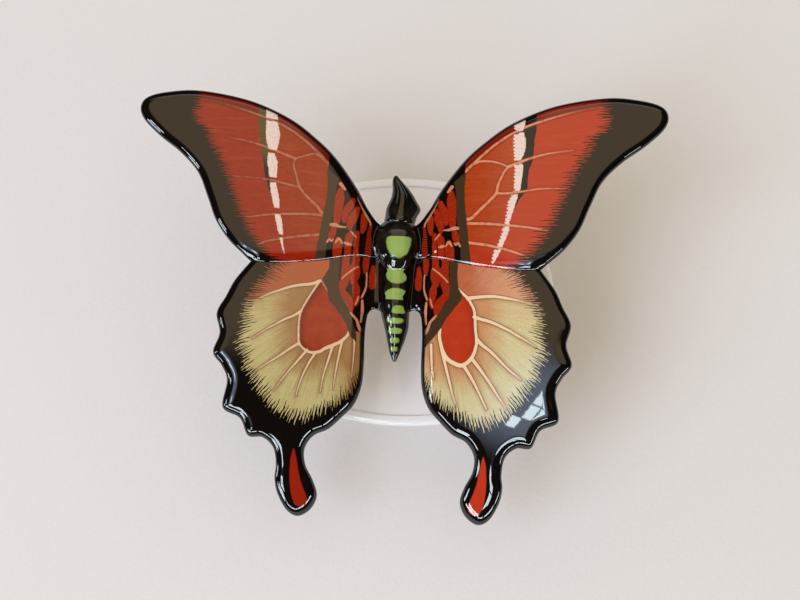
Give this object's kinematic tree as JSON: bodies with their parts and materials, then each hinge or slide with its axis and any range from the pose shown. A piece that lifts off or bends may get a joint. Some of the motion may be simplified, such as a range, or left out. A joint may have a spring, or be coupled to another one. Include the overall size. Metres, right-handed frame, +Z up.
{
  "type": "butterfly ornament",
  "caption": "Glazed porcelain swallowtail butterfly with raised wings, standing over a hollow white oval base on a short post.",
  "frame": {"origin": "centre of the base's flat foot ring, on the surface the ornament stands on", "axes": "+X to the butterfly's right wing as seen from above with its head away, +Y to its head, +Z up"},
  "size_m": [0.13, 0.1014, 0.0524],
  "materials": {
    "white_glaze": "white porcelain under a clear glossy glaze, bare biscuit on the foot ring",
    "body_glaze": "glossy black glaze with light green patches along the back",
    "wing_glaze": "coloured natural wing markings in red, cream and black under a clear glossy glaze"
  },
  "bodies": {
    "root": {"base": "white_glaze", "stem": "white_glaze", "thorax": "body_glaze", "abdomen": "body_glaze", "head": "body_glaze", "left_forewing": "wing_glaze", "right_forewing": "wing_glaze", "left_hindwing": "wing_glaze", "right_hindwing": "wing_glaze"}
  },
  "joints": []
}
